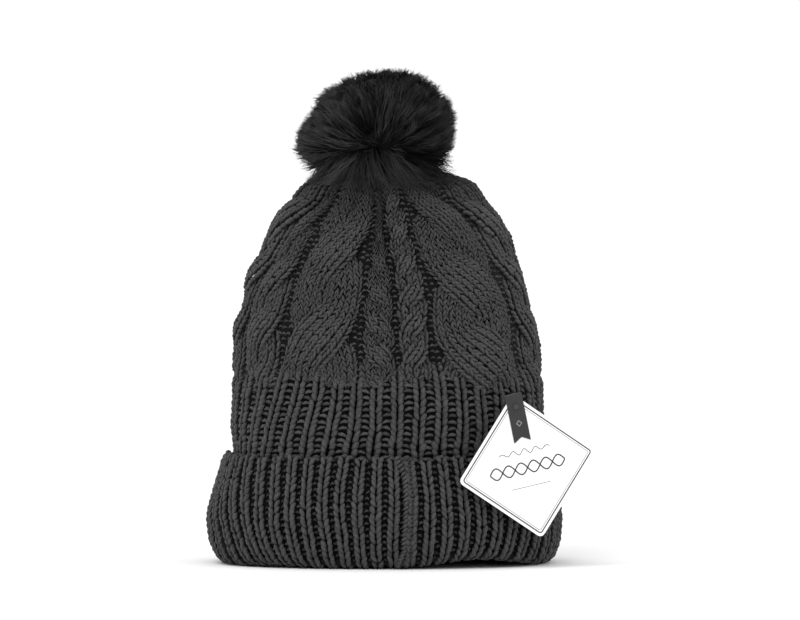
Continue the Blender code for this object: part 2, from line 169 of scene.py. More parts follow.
class Surface:
    """A tube of superellipse levels. A place on it is a length up it and a part round it:
    0 is the front, 1 and -1 the sides, 2 the back."""

    def __init__(self, heights, centres, widths, depths):
        run = np.concatenate([[0], np.cumsum(np.hypot(np.diff(widths), np.diff(heights)))])
        self.run, self.end = run, run[-1]
        self.columns = [np.asarray(c, float) for c in (heights, centres, widths, depths)]

    def level(self, up):
        return [hermite(up, self.run, column) for column in self.columns]

    def flat(self, up, part):
        z, centre, width, depth = self.level(up)
        part = (np.asarray(part) + 2) % 4 - 2
        quarter = np.where(abs(part) <= 1, abs(part), 2 - abs(part))
        unit = girth_point(depth / np.maximum(width, 1e-6), quarter)
        x = centre + np.sign(part) * width * unit[..., 0]
        y = np.where(abs(part) <= 1, -1, 1) * depth * unit[..., 1]
        return np.stack([x, y, z + arch(x, y, z)], axis=-1)

    def around(self, up, part):
        """The direction round the tube, rightwards seen from outside."""
        return unit_rows(self.flat(up, part + PART_STEP) - self.flat(up, part - PART_STEP))

    def normal(self, up, part):
        upward = self.flat(np.minimum(up + UP_STEP, self.end), part)
        upward = upward - self.flat(np.maximum(up - UP_STEP, 0), part)
        return unit_rows(np.cross(self.around(up, part), upward))

    def at(self, up, part, out):
        outwards, sideways = ripple(up, part)
        part = part + RIPPLE_ROUND * sideways
        out = np.asarray(out) + RIPPLE_OUT * outwards
        return self.flat(up, part) + self.normal(up, part) * out[..., None]

    def up_to(self, height):
        """The length up the tube at which it first reaches this height."""
        fine = np.linspace(0, self.end, 4000)
        return float(np.interp(height, np.maximum.accumulate(self.level(fine)[0]), fine))

    def quarter(self, up):
        """The length of a quarter of the way round."""
        _, _, width, depth = self.level(up)
        return 0.5 * math.pi * np.sqrt((width**2 + depth**2) / 2) * 1.025


def unit_rows(v):
    return v / np.maximum(np.linalg.norm(v, axis=-1, keepdims=True), 1e-12)


def run_along(path):
    """The length along a path up to each of its points."""
    return np.concatenate([[0], np.cumsum(np.linalg.norm(np.diff(path, axis=0), axis=1))])


BODY = Surface(
    HAT_LEVELS[:, 0],
    (HAT_LEVELS[:, 1] + HAT_LEVELS[:, 2]) / 2,
    (HAT_LEVELS[:, 2] - HAT_LEVELS[:, 1]) / 2,
    (HAT_LEVELS[:, 2] - HAT_LEVELS[:, 1]) / 2 * HAT_LEVELS[:, 3],
)
CUFF = Surface(
    CUFF_SECTION[:, 1],
    np.zeros(len(CUFF_SECTION)),
    CUFF_TUBE[0] + CUFF_SECTION[:, 0],
    CUFF_TUBE[1] + CUFF_SECTION[:, 0],
)

# ---------------------------------------- materials


class Nodes:
    """A short way to write a material's nodes."""

    def __init__(self, name):
        self.material = bpy.data.materials.new(name)
        self.material.use_nodes = True
        self.tree = self.material.node_tree
        self.shader = self.tree.nodes["Principled BSDF"]

    def add(self, kind, inputs=(), **settings):
        node = self.tree.nodes.new(kind)
        for key, value in settings.items():
            setattr(node, key, value)
        for key, value in dict(inputs).items():
            if isinstance(value, bpy.types.NodeSocket):
                self.tree.links.new(value, node.inputs[key])
            else:
                node.inputs[key].default_value = value
        return node

    def set(self, **inputs):
        for key, value in inputs.items():
            key = key.replace("_", " ")
            if isinstance(value, bpy.types.NodeSocket):
                self.tree.links.new(value, self.shader.inputs[key])
            else:
                self.shader.inputs[key].default_value = value

    def place(self):
        return self.add("ShaderNodeTexCoord").outputs["Object"]

    def noise(self, scale, detail):
        inputs = {"Vector": self.place(), "Scale": scale, "Detail": detail}
        return self.add("ShaderNodeTexNoise", inputs).outputs["Fac"]

    def math(self, operation, a, b=0.0):
        return self.add("ShaderNodeMath", {0: a, 1: b}, operation=operation).outputs[0]

    def mix(self, factor, a, b, blend="MIX"):
        node = self.add("ShaderNodeMix", {0: factor, 6: a, 7: b}, data_type="RGBA",
                        blend_type=blend)
        return node.outputs[2]

    def ramp(self, factor, *stops):
        node = self.add("ShaderNodeValToRGB", {0: factor})
        node.color_ramp.elements[0].position = stops[0][0]
        node.color_ramp.elements[0].color = stops[0][1]
        for place, colour in stops[1:-1]:
            node.color_ramp.elements.new(place).color = colour
        node.color_ramp.elements[-1].position = stops[-1][0]
        node.color_ramp.elements[-1].color = stops[-1][1]
        return node.outputs[0]

    def bump(self, height, distance, strength):
        node = self.add("ShaderNodeBump",
                        {"Height": height, "Distance": distance, "Strength": strength})
        self.set(Normal=node.outputs[0])

    def attribute(self, name, output="Fac"):
        return self.add("ShaderNodeAttribute", attribute_name=name).outputs[output]


def grey(value, tint=0.0):
    return (value, value, value * (1 + tint), 1.0)


def yarn_material(name, light, dark):
    """Matt acrylic yarn: plies twisted along each stitch, loose fibres, painted shade between
    stitches.
    """
    n = Nodes(name)
    yarn = n.add("ShaderNodeSeparateXYZ", {0: n.attribute("yarn", "Vector")})
    twist = n.math("ADD", n.math("MULTIPLY", yarn.outputs[0], 9.0),
                   n.math("MULTIPLY", yarn.outputs[1], 3.0))
    ply = n.math("SINE", twist)
    fibre = n.noise(1500.0, 4.0)
    patches = n.noise(90.0, 2.0)
    tone = n.ramp(fibre, (0.25, grey(dark, 0.02)), (0.75, grey(light, 0.02)))
    tone = n.mix(n.math("MULTIPLY", patches, 0.35), tone, grey(light * 1.12, 0.02))
    # painted shade: the shade attribute darkens the colour to near black between and under stitches
    shade = n.attribute("shade")
    n.set(Base_Color=n.mix(1.0, tone, n.ramp(shade, (0.0, grey(0.004)), (1.0, grey(1.0))),
                           "MULTIPLY"))
    n.set(Roughness=0.95, Sheen_Weight=0.08, Sheen_Roughness=0.5)
    n.shader.inputs["Specular IOR Level"].default_value = 0.15
    height = n.math("ADD", n.math("MULTIPLY", ply, 0.35), n.math("MULTIPLY", fibre, 1.0))
    n.bump(height, 0.00035, 0.7)
    return n.material


def fur_material(name, root, tip):
    """Faux fur: darker at the root than at the tip, as painted shade deep in the fur, and a little
    glossy along the hair.
    """
    n = Nodes(name)
    along = n.attribute("shade")
    tone = n.ramp(along, (0.0, grey(root)), (0.55, grey((root + tip) / 2)), (1.0, grey(tip)))
    streak = n.noise(420.0, 1.0)
    tone = n.mix(n.math("MULTIPLY", streak, 0.5), tone, grey(root))
    n.set(Base_Color=tone, Roughness=0.6)
    n.shader.inputs["Specular IOR Level"].default_value = 0.05
    return n.material


def cloth_material(name, colour, roughness, weave):
    n = Nodes(name)
    place = n.place()
    waves = [
        n.add("ShaderNodeTexWave", {"Vector": place, "Scale": weave, "Distortion": 0.6},
              wave_type="BANDS", bands_direction=axis).outputs["Fac"]
        for axis in ("X", "Z")
    ]
    height = n.math("MAXIMUM", *waves)
    tone = n.mix(n.math("MULTIPLY", height, 0.4), colour, tuple(c * 0.6 for c in colour[:3]) + (1,))
    n.set(Base_Color=tone, Roughness=roughness, Sheen_Weight=0.2)
    n.bump(height, 0.0001, 0.5)
    return n.material


def plastic_material(name, colour, roughness):
    n = Nodes(name)
    speck = n.noise(900.0, 2.0)
    n.set(Base_Color=n.mix(n.math("MULTIPLY", speck, 0.25), colour,
                           tuple(c * 0.8 for c in colour[:3]) + (1,)))
    n.set(Roughness=roughness)
    n.bump(speck, 0.00004, 0.4)
    return n.material


def card_material(name, colour):
    """Coated white card with the faint grain of pressed paper."""
    n = Nodes(name)
    grain = n.noise(1500.0, 4.0)
    cloud = n.noise(60.0, 2.0)
    tone = n.mix(n.math("MULTIPLY", cloud, 0.25), colour,
                 tuple(c * 0.97 for c in colour[:3]) + (1,))
    n.set(Base_Color=tone, Roughness=0.5)
    n.shader.inputs["Specular IOR Level"].default_value = 0.3
    n.bump(grain, 0.00002, 0.3)
    return n.material


YARN = yarn_material("yarn", 0.092, 0.026)
# painted shade: the ground behind the stitches and the yarn deep inside the hat are the same yarn
# made near black
YARN_PAINTED_SHADE = yarn_material("yarn_ground_painted_shade", 0.0035, 0.0015)
FUR = fur_material("fur", 0.0004, 0.070)
RIBBON = cloth_material("ribbon", grey(0.026), 0.9, 2400.0)
SATIN = cloth_material("label_satin", grey(0.80), 0.45, 1800.0)
THREAD = cloth_material("thread", grey(0.03), 0.8, 3000.0)
CORD = cloth_material("elastic_cord", grey(0.025), 0.7, 2600.0)
BLACK = plastic_material("black_plastic", grey(0.03), 0.4)
NYLON = plastic_material("nylon", grey(0.02), 0.3)
FIBRE = cloth_material("fibre_filling", grey(0.72), 0.95, 500.0)
CARD = card_material("card", grey(0.90))
INK = plastic_material("card_ink", grey(0.045), 0.5)
INK_LIGHT = plastic_material("card_ink_light", grey(0.36), 0.5)
MARK = plastic_material("ribbon_mark", grey(0.20), 0.6)

# ---------------------------------------- meshes


def mesh_object(name, points, quads, material, body, slot, triangles=None, **attributes):
    """A smooth mesh object of quads (and triangles), which rides on a body if one is given."""
    mesh = bpy.data.meshes.new(name)
    triangles = np.zeros((0, 3), int) if triangles is None else triangles
    loops = np.concatenate([quads.ravel(), triangles.ravel()]).astype(np.int32)
    totals = np.concatenate([np.full(len(quads), 4), np.full(len(triangles), 3)])
    mesh.vertices.add(len(points))
    mesh.vertices.foreach_set("co", points.astype(np.float32).ravel())
    mesh.loops.add(len(loops))
    mesh.loops.foreach_set("vertex_index", loops)
    mesh.polygons.add(len(totals))
    starts = np.concatenate([[0], np.cumsum(totals)[:-1]])
    mesh.polygons.foreach_set("loop_start", starts.astype(np.int32))
    mesh.update(calc_edges=True)
    for key, values in attributes.items():
        kind = "FLOAT" if values.ndim == 1 else "FLOAT_VECTOR"
        layer = mesh.attributes.new(key, kind, "POINT")
        layer.data.foreach_set("value" if kind == "FLOAT" else "vector",
                               values.astype(np.float32).ravel())
    mesh.shade_smooth()
    mesh.materials.append(material)
    obj = bpy.data.objects.new(name, mesh)
    bpy.context.scene.collection.objects.link(obj)
    if body:
        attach(obj, body)
    return obj


def ring_quads(rings, sides, closed=False):
    """Faces between rings of points; closed joins the last ring to the first."""
    i, j = np.meshgrid(np.arange(rings if closed else rings - 1), np.arange(sides), indexing="ij")
    a, b, k = i * sides, (i + 1) % rings * sides, (j + 1) % sides
    return np.stack([a + j, a + k, b + k, b + j], axis=-1).reshape(-1, 4)


def unit_lump(rings=5, sides=6):
    """A leaf-shaped piece of yarn: across, along and out, each from -1 to 1, and its faces."""
    along = -np.cos(np.linspace(0.06, 0.94, rings) * math.pi)
    swell = np.clip(1 - along**2, 0, 1) ** 0.58 * (1 + 0.12 * along)
    turn = 2 * math.pi * (np.arange(sides) + 0.5) / sides
    t, a = np.repeat(along, sides), np.tile(turn, rings)
    f = np.repeat(swell, sides)
    points = np.stack([np.cos(a) * f, t, np.sin(a) * f], axis=1)
    last = (rings - 1) * sides
    caps = []
    for j in range(1, sides - 2, 2):
        caps.append((0, j, j + 1, j + 2))
        caps.append((last, last + j + 2, last + j + 1, last + j))
    return points, np.concatenate([ring_quads(rings, sides)[:, ::-1], caps]), a


LUMP, LUMP_QUADS, LUMP_TURN = unit_lump()
SIDE_SHADE = 0.20  # painted shade on a stitch's edges, which lie deeper than its middle
END_SHADE = 0.60  # painted shade lost at a stitch's ends


class Stitches:
    """Collects short lengths of yarn and makes one mesh of them."""

    def __init__(self):
        self.parts = []

    def add(self, centre, along, out, half_length, half_width, half_height, dip, shade, bow=0.0):
        """Each is an array over the lengths of yarn, or one number for all.

        dip lowers the ends, and bow moves them sideways.
        """
        count = len(centre)
        across = unit_rows(np.cross(along, out))
        out = unit_rows(np.cross(across, along))
        size = [np.broadcast_to(v, count) for v in (half_width, half_length, half_height)]
        size = [v * rng.uniform(0.93, 1.07, count) for v in size]
        local = LUMP[None] * np.stack(size, axis=1)[:, None]
        local[:, :, 2] -= np.broadcast_to(dip, count)[:, None] * LUMP[None, :, 1] ** 2
        local[:, :, 0] += np.broadcast_to(bow, count)[:, None] * LUMP[None, :, 1] ** 2
        points = (
            centre[:, None]
            + local[:, :, 0:1] * across[:, None]
            + local[:, :, 1:2] * along[:, None]
            + local[:, :, 2:3] * out[:, None]
        )
        # painted shade: each stitch darkens towards its edges and underside, and towards its ends
        facing = np.clip(SIDE_SHADE + LUMP[None, :, 2], 0, 1)
        ends = 1 - END_SHADE * LUMP[None, :, 1] ** 6
        tone = np.broadcast_to(shade, count) * rng.uniform(0.86, 1.08, count)
        shades = np.clip(tone[:, None] * facing * ends, 0, 1)
        yarn = np.zeros((count, len(LUMP), 3))
        yarn[:, :, 0] = LUMP[None, :, 1]
        yarn[:, :, 1] = LUMP_TURN[None]
        self.parts.append((points.reshape(-1, 3), shades.ravel(), yarn.reshape(-1, 3)))

    def finish(self, name, body):
        points, shades, yarn = (np.concatenate(p) for p in zip(*self.parts))
        count = len(points) // len(LUMP)
        quads = LUMP_QUADS[None] + (np.arange(count) * len(LUMP))[:, None, None]
        return mesh_object(name, points, quads.reshape(-1, 4), YARN, body, "knit_yarn",
                           shade=shades, yarn=yarn)


def knit_column(stitches, surface, up, part, out, width, roundness=0.0, shade=1.0, offset=0.0,
                pitch=PITCH):
    """A column of knit stitches along a path: two leaning legs to a stitch, which make Vs.

    roundness lowers the legs by where they lie across a strand; offset is the column's place
    in that strand, from -1.5 to 1.5.
    """
    path = surface.at(up, part, out)
    run = run_along(path)
    count = int(run[-1] / pitch)
    if count < 1:
        return
    at = (np.arange(count) + 0.5) * run[-1] / count + rng.uniform(-0.0003, 0.0003, count)
    ups, parts, outs, widths, shades = (
        np.interp(at, run, np.broadcast_to(v, len(up))) for v in (up, part, out, width, shade)
    )
    rounding = np.interp(at, run, np.broadcast_to(roundness, len(up)))
    place, ahead, behind = (
        np.stack([np.interp(at + step, run, path[:, k]) for k in range(3)], axis=1)
        for step in (0, AHEAD, -AHEAD)
    )
    along = unit_rows(ahead - behind)
    normal = surface.normal(ups, parts)
    normal = unit_rows(normal - along * np.sum(along * normal, axis=1)[:, None])
    side = np.cross(along, normal)
    slouch = rng.normal(0, 0.06, count)
    for sign in (-1, 1):
        lean = (LEG_LEAN + rng.normal(0, 0.08, count) + sign * slouch) * sign
        tilt = LEG_TILT + rng.normal(0, 0.05, count)
        axis = unit_rows(along + side * lean[:, None] - normal * tilt[:, None])
        lower = rounding * ((offset + 0.25 * sign) / 1.5) ** 2
        jitter = rng.normal(0, 0.00016, (count, 3)) + along * rng.normal(0, 0.0003, (count, 1))
        centre = place + side * (sign * 0.25 * widths)[:, None] - normal * lower[:, None] + jitter
        outward = unit_rows(normal + side * (sign * 0.30))
        half_length = LEG_LENGTH * pitch * rng.uniform(0.85, 1.12, count)
        stitches.add(centre, axis, outward, half_length,
                     LEG_WIDTH * widths * rng.uniform(0.88, 1.08, count), LEG_HEIGHT, 0.0008,
                     shades * rng.uniform(0.86, 1.05, count), sign * 0.00025)


def purl_column(stitches, surface, up, part, out, width, shade, thick=0.00092):
    """A column of purl bumps: short arcs across the column, set back between the ribs."""
    path = surface.at(up, part, out)
    run = run_along(path)
    count = int(run[-1] / PITCH)
    if count < 1:
        return
    at = (np.arange(count) + 0.5) * run[-1] / count + rng.uniform(-0.0004, 0.0004, count)
    ups, parts, outs, widths = (
        np.interp(at, run, np.broadcast_to(v, len(up))) for v in (up, part, out, width)
    )
    place = surface.at(ups, parts, outs)
    normal = surface.normal(ups, parts)
    around = surface.around(ups, parts)
    upward = np.cross(normal, around)
    place = place + around * rng.normal(0, 0.0003, count)[:, None]
    around = unit_rows(around + upward * rng.uniform(-0.30, 0.30, count)[:, None])
    tone = shade * rng.uniform(0.55, 1.30, count)
    stitches.add(place, around, normal, widths * 0.48, thick, 0.00105, 0.0012, tone, 0.0014)


# ---------------------------------------- cables

# Where the cable panels meet, as parts round the hat, at four heights
EDGE_HEIGHTS = np.array((0.110, 0.170, 0.200, 0.232))
EDGES = (
    (-0.780, -0.757, -0.660, -0.486),
    (-0.530, -0.495, -0.470, -0.370),
    (-0.130, -0.115, -0.090, -0.080),
    (0.057, 0.045, 0.010, -0.050),
    (0.225, 0.215, 0.165, 0.100),
    (0.720, 0.655, 0.590, 0.440),
    (0.970, 0.950, 0.900, 0.800),
    (1.470, 1.460, 1.430, 1.380),
    (1.720, 1.710, 1.690, 1.650),
    (2.220, 2.210, 2.200, 2.180),
    (2.470, 2.460, 2.450, 2.430),
    (2.970, 2.960, 2.970, 3.000),
    (3.220, 3.243, 3.340, 3.514),
)
# Each panel between two edges: which way its upper strand crosses (1 is up to the right), a
# crossing's height, the height from one crossing to the next, and a stitch column's width
WIDE_STITCH, NARROW_STITCH = 0.0042, 0.0040
PANELS = (
    (1, 0.150, 0.034, WIDE_STITCH),
    (1, 0.1450, 0.054, WIDE_STITCH),
    (-1, 0.152, 0.019, NARROW_STITCH),
    (1, 0.152, 0.019, NARROW_STITCH),
    (-1, 0.1325, 0.046, WIDE_STITCH),
    (-1, 0.150, 0.034, WIDE_STITCH),
    (1, 0.1450, 0.054, WIDE_STITCH),
    (1, 0.150, 0.034, WIDE_STITCH),
    (-1, 0.1300, 0.054, WIDE_STITCH),
    (-1, 0.150, 0.034, NARROW_STITCH),
    (1, 0.1450, 0.054, WIDE_STITCH),
    (1, 0.150, 0.034, WIDE_STITCH),
)
CROSSING = 0.44  # half of a crossing's height, as a share of the period
GROOVE = 0.0036  # width of the purl groove between panels
TIERS = (BAND_TOP - 0.003, 0.2430, 0.2474)  # heights between which columns are dropped
CROWN_HEIGHT = HAT_LEVELS[-1, 0]
CABLE_FOOT = 0.007  # height over which a cable rises out of the ribbing
FOOT_OUT = -0.0014  # how deep it starts there
STRAND_OUT, STRAND_RISE = 0.0002, 0.0027  # out between crossings, and more or less at one
STRAND_SPREAD = 0.30  # a strand's columns widen by this much at a crossing
STRAND_ROUND = 0.0021  # how much lower its outer columns lie
COLUMN_OVERLAP = 1.08
LEAST_HALF = 0.0015  # half width of the narrowest panel
FUR_SHADOW_FROM, FUR_SHADOW_TO, FUR_SHADOW_LEVEL = 0.218, 0.243, 0.40  # painted shadow: the knit darkens under the fur between these heights, down to this share
LATE_COLUMNS, LATE_STRANDS = 10, 9  # columns start up to this many path steps late
GROOVE_STEP, GROOVE_OUT, GROOVE_FALL = 0.0038, -0.0024, -0.0003  # its three columns of purl


def edge_part(edge, height):
    return np.interp(height, EDGE_HEIGHTS, EDGES[edge])


def crossing(height, start, period):
    """A strand's side (-1 left, 1 right), how far into a crossing, and its direction."""
    count = np.floor((height - start) / period + 0.5)
    within = (height - start) / period - count
    turn = np.where(count % 2 == 0, 1.0, -1.0)
    side = turn * np.sin(np.clip(within / CROSSING, -1, 1) * math.pi / 2)
    depth = np.cos(np.clip(within / CROSSING, -1, 1) * math.pi / 2) ** 2
    return side, depth, turn


def cable_panel(stitches, panel, low, high):
    """The strands of one panel. A strand's columns keep their distance square to its run."""
    direction, start, period, wale = PANELS[panel]
    up = np.arange(low, high, PATH_STEP)
    height = BODY.level(up)[0]
    left, right = edge_part(panel, height), edge_part(panel + 1, height)
    quarter = BODY.quarter(up)
    middle = (left + right) / 2
    half = np.maximum((right - left) / 2 * quarter - GROOVE / 2, LEAST_HALF)
    side, depth, turn = crossing(height, start, period)
    columns = max(1, round(float(half[0]) * 0.95 / wale))
    lowest = low < BODY.up_to(BAND_TOP) + 0.001
    # painted shadow under the fur
    under_fur_shadow = np.interp(height, (FUR_SHADOW_FROM, FUR_SHADOW_TO), (1.0, FUR_SHADOW_LEVEL))
    for strand in (1, -1):
        late = rng.integers(0, LATE_STRANDS)
        over = depth * turn * strand * direction
        centre = half * 0.5 * side * strand
        slope = np.gradient(centre, up)
        slant = np.sqrt(1 + slope**2)
        column_width = half / columns * (1 + STRAND_SPREAD * depth)
        for k in range(columns):
            offset = k - (columns - 1) / 2
            away = offset * column_width
            skip = late + rng.integers(0, LATE_COLUMNS) if lowest else rng.integers(0, 5)
            foot = np.clip((height - height[skip]) / CABLE_FOOT, 0, 1) if lowest else 1.0
            ups = np.clip(up - away * slope / slant, low, high)[skip:]
            across = (centre + away / slant)[skip:]
            part = np.interp(ups, up, middle) + across / np.interp(ups, up, quarter)
            out = (STRAND_OUT + STRAND_RISE * over) * foot + FOOT_OUT * (1 - foot)
            # painted light and shade: the strand on top at a crossing is lighter, the one beneath
            # darker
            shade = (0.95 + 0.12 * over) * under_fur_shadow
            knit_column(stitches, BODY, ups, part, out[skip:],
                        (column_width * COLUMN_OVERLAP)[skip:], STRAND_ROUND, shade[skip:],
                        offset=offset * 3 / columns, pitch=CABLE_PITCH)


def make_cables():
    tiers = [BODY.up_to(min(height, CROWN_HEIGHT - 1e-5)) for height in TIERS]
    tiers[-1] = BODY.end - 0.003
    groups = {"cables_left": (0, 1, 2), "cables_right": (3, 4, 5),
              "cables_back_right": (6, 7, 8), "cables_back_left": (9, 10, 11)}
    for name, panels in groups.items():
        stitches = Stitches()
        for panel in panels:
            cable_panel(stitches, panel, tiers[0], tiers[1])
            cable_panel(stitches, panel, tiers[1] - 0.003, tiers[2])
            up = np.arange(tiers[0], tiers[-1] - 0.02, PATH_STEP)
            part = edge_part(panel, BODY.level(up)[0])
            for shift in (-1, 0, 1):
                beside = part + shift * GROOVE_STEP / BODY.quarter(up)
                out = GROOVE_OUT + GROOVE_FALL * abs(shift)
                # painted shade: the purl set back in the grooves is drawn darker
                purl_column(stitches, BODY, up, beside, out, GROOVE * 1.3, 0.75)
        stitches.finish(name, "hat")


# ---------------------------------------- ribbing

BAND_RIBS, CUFF_RIBS = 40, 57
BAND_LOW = 0.018
BAND_HIDDEN_TOP = 0.128  # the ribs run on this far under the cables
BAND_SPLAY_LEFT, BAND_SPLAY_RIGHT = 0.13, 0.06
SPLAY_MIDDLE, SPLAY_HEIGHT = 0.093, 0.036  # none at this height; all of it this much lower
BAND_OUT, BAND_PURL_IN = -0.0002, 0.0011
BAND_SINK, BAND_SINK_HEIGHT = 0.0028, 0.009  # how the ribs dive under the cables
BAND_RIB_WIDTH, BAND_PURL_WIDTH = 0.62, 0.58  # as shares of the pitch
BAND_PURL_THICK = 0.00118
BAND_FLARE, FLARE_UP, FLARE_HEIGHT = 0.40, 0.005, 0.0035  # ribs widen just above the cuff
CUFF_OUT, CUFF_PURL_OUT = -0.0008, -0.0030
CUFF_RIB_WIDTH, CUFF_PURL_WIDTH = 0.70, 0.40
CUFF_LEAN, LEAN_MIDDLE, LEAN_HEIGHT = 0.090, 0.036, 0.060
CUFF_UNEVEN = 0.0034  # the ribs' free ends differ by this much


def band_part(middle, height):
    """Ribs of the band splay outwards as they go down, more on the left than on the right."""
    splay = BAND_SPLAY_LEFT if middle < 0 else BAND_SPLAY_RIGHT
    fade = max(0.0, 1 - max(0.0, abs(middle) - 0.55) / 0.4)
    return middle * (1 + splay * fade * (SPLAY_MIDDLE - height) / SPLAY_HEIGHT)


def make_band():
    stitches = Stitches()
    up = np.arange(BODY.up_to(BAND_LOW), BODY.up_to(BAND_HIDDEN_TOP), PATH_STEP)
    height = BODY.level(up)[0]
    quarter = BODY.quarter(up)
    pitch = 4 / BAND_RIBS
    for rib in range(BAND_RIBS):
        middle = -1.95 + rib * pitch
        part = band_part(middle, np.clip(height, 0.06, 0.12))
        flare = 1 + BAND_FLARE * np.exp(-(((height - CUFF_TOP - FLARE_UP) / FLARE_HEIGHT) ** 2))
        width = BAND_RIB_WIDTH * pitch * quarter * flare
        sink = BAND_TOP + rng.uniform(-0.003, 0.005)
        out = BAND_OUT - BAND_SINK * np.clip((height - sink) / BAND_SINK_HEIGHT, 0, 1)
        knit_column(stitches, BODY, up, part, out, width, 0.0)
        part = band_part(middle + pitch / 2, np.clip(height, 0.06, 0.12))
        purl_column(stitches, BODY, up, part, out - BAND_PURL_IN,
                    BAND_PURL_WIDTH * pitch * quarter, 1.0, thick=BAND_PURL_THICK)
    stitches.finish("rib_band", "hat")


def cuff_part(middle, height):
    """Ribs of the cuff lean: the top is further left than the fold on the left half."""
    lean = CUFF_LEAN * np.clip(-middle / 0.6, 0, 1) ** 1.5
    lean = lean * max(0.0, 1 - max(0.0, abs(middle) - 0.7) / 0.4)
    return middle - lean * (height - LEAN_MIDDLE) / LEAN_HEIGHT


SEAM_PART = 0.073


def make_cuff():
    pitch = 4 / CUFF_RIBS
    for name, low, high in (("cuff_front", -1, 1), ("cuff_back", 1, 3)):
        stitches = Stitches()
        for rib in range(CUFF_RIBS):
            middle = SEAM_PART + (rib + 0.5) * pitch
            middle = middle if middle < 3 else middle - 4
            if not low <= middle < high:
                continue
            top = CUFF.end - 0.0004 - rng.uniform(0, CUFF_UNEVEN)
            up = np.arange(0.0, top, PATH_STEP)
            height = CUFF.level(up)[0]
            quarter = CUFF.quarter(up)
            part = cuff_part(middle, height)
            opened = 1 + 0.10 * np.clip((height - 0.060) / 0.01, 0, 1)
            width = CUFF_RIB_WIDTH * pitch * quarter * opened
            knit_column(stitches, CUFF, up, part, CUFF_OUT, width, 0.0)
            part = cuff_part(middle + pitch / 2, height)
            # painted shade: the purl set back between the ribs is drawn darker
            purl_column(stitches, CUFF, up[:-3], part[:-3], CUFF_PURL_OUT,
                        CUFF_PURL_WIDTH * pitch * quarter[:-3], 0.62)
            edge_up = np.full(3, top + 0.0003)
            edge_part_at = part[-1] - pitch / 2 + (
                np.array((-0.25, 0.02, 0.27)) + rng.normal(0, 0.05, 3)) * pitch
            edge_up = edge_up - rng.uniform(0, 0.0010, 3)
            place = CUFF.at(edge_up, edge_part_at, np.array((-0.0022, -0.0012, -0.0022)))
            around = CUFF.around(edge_up, edge_part_at)
            around[:, 2] += np.array((0.60, 0.0, -0.60)) + rng.normal(0, 0.2, 3)
            # painted shade: the loops of the free edge, set back in its crevice, are drawn darker
            stitches.add(place, unit_rows(around), CUFF.normal(edge_up, edge_part_at),
                         rng.uniform(0.0018, 0.0027, 3), 0.0012, 0.0014, 0.0006,
                         rng.uniform(0.5, 0.95, 3), -0.0008)
        stitches.finish(name, "cuff")


FOLD_UP = 0.010  # the cuff's ground lies close behind the stitches up to here, round the fold
FOLD_DEPTH = -0.0016
GROUND_SIDES = 320
INNER_RIBS, INNER_RIB_HEIGHT = 40, 0.0006


def make_ground():
    """The fabric behind the stitches: outer face under the relief, inner face ribbed inside."""
    parts = np.linspace(-2, 2, GROUND_SIDES, endpoint=False)
    for name, surface, body, depth, thick, levels, high, replaced in (
        ("hat_ground", BODY, "hat", -0.0025, 0.0027, 54, BODY.end - 0.0005, "knit_body"),
        ("cuff_ground", CUFF, "cuff", -0.0040, 0.0018, 40, CUFF.end - 0.0015, "turn_up_cuff"),
    ):
        ups = np.linspace(0, high, levels)
        depths = np.full(levels, depth)
        if body == "cuff":
            depths = np.interp(ups, (FOLD_UP, FOLD_UP + 0.006), (FOLD_DEPTH, depth))
        ribs = INNER_RIB_HEIGHT * np.sin(parts * math.pi * INNER_RIBS / 2) * (body == "hat")
        rings = [surface.at(np.full(GROUND_SIDES, up), parts, np.full(GROUND_SIDES, out))
                 for up, out in zip(ups, depths)]
        rings += [surface.at(np.full(GROUND_SIDES, up), parts, out - thick - ribs)
                  for up, out in zip(ups[::-1], depths[::-1])]
        points = np.array(rings).reshape(-1, 3)
        quads = ring_quads(len(rings), GROUND_SIDES, closed=True)
        # painted shade: the ground is drawn in the near-black yarn at half tone, dark as the shade
        # behind the stitches
        ground = mesh_object(name, points, quads, YARN_PAINTED_SHADE, body, "knit_yarn",
                             shade=np.full(len(points), 0.5), yarn=np.zeros((len(points), 3)))
        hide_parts(replaced)


def make_seam():
    """The overcast seam, whose loops show as a ridge on the turned-up side."""
    stitches = Stitches()
    up = np.arange(0.004, CUFF.end - 0.0008, PATH_STEP)
    height = CUFF.level(up)[0]
    bend = -0.030 * np.clip((height - 0.058) / 0.012, 0, 1) - 0.028 * np.clip(
        (0.012 - height) / 0.010, 0, 1)
    part = SEAM_PART + 0.010 + bend
    path = CUFF.at(up, part, 0.0006)
    run = run_along(path)
    count = int(run[-1] / 0.0027)
    at = (np.arange(count) + 0.5) * run[-1] / count
    ups, parts = np.interp(at, run, up), np.interp(at, run, part)
    normal = CUFF.normal(ups, parts)
    around = CUFF.around(ups, parts)
    upward = np.cross(normal, around)
    slant = unit_rows(around * 0.85 + upward * (0.75 + rng.uniform(-0.2, 0.2, count))[:, None])
    place = CUFF.at(ups, parts, np.full(count, 0.0002))
    stitches.add(place, slant, normal, 0.0026, 0.00115, 0.0015, 0.0012, 0.95)
    for shift, tone in ((0.022, 0.75), (0.038, 0.6)):
        place = CUFF.at(ups, parts + shift, np.full(count, -0.0012))
        wobble = unit_rows(around + upward * rng.uniform(-0.35, 0.35, count)[:, None])
        stitches.add(place, wobble, normal, 0.0021, 0.0013, 0.0013, 0.0010, tone)
    seam = stitches.finish("cuff_seam_yarn", "cuff")
    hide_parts("cuff_seam")


# ---------------------------------------- pom

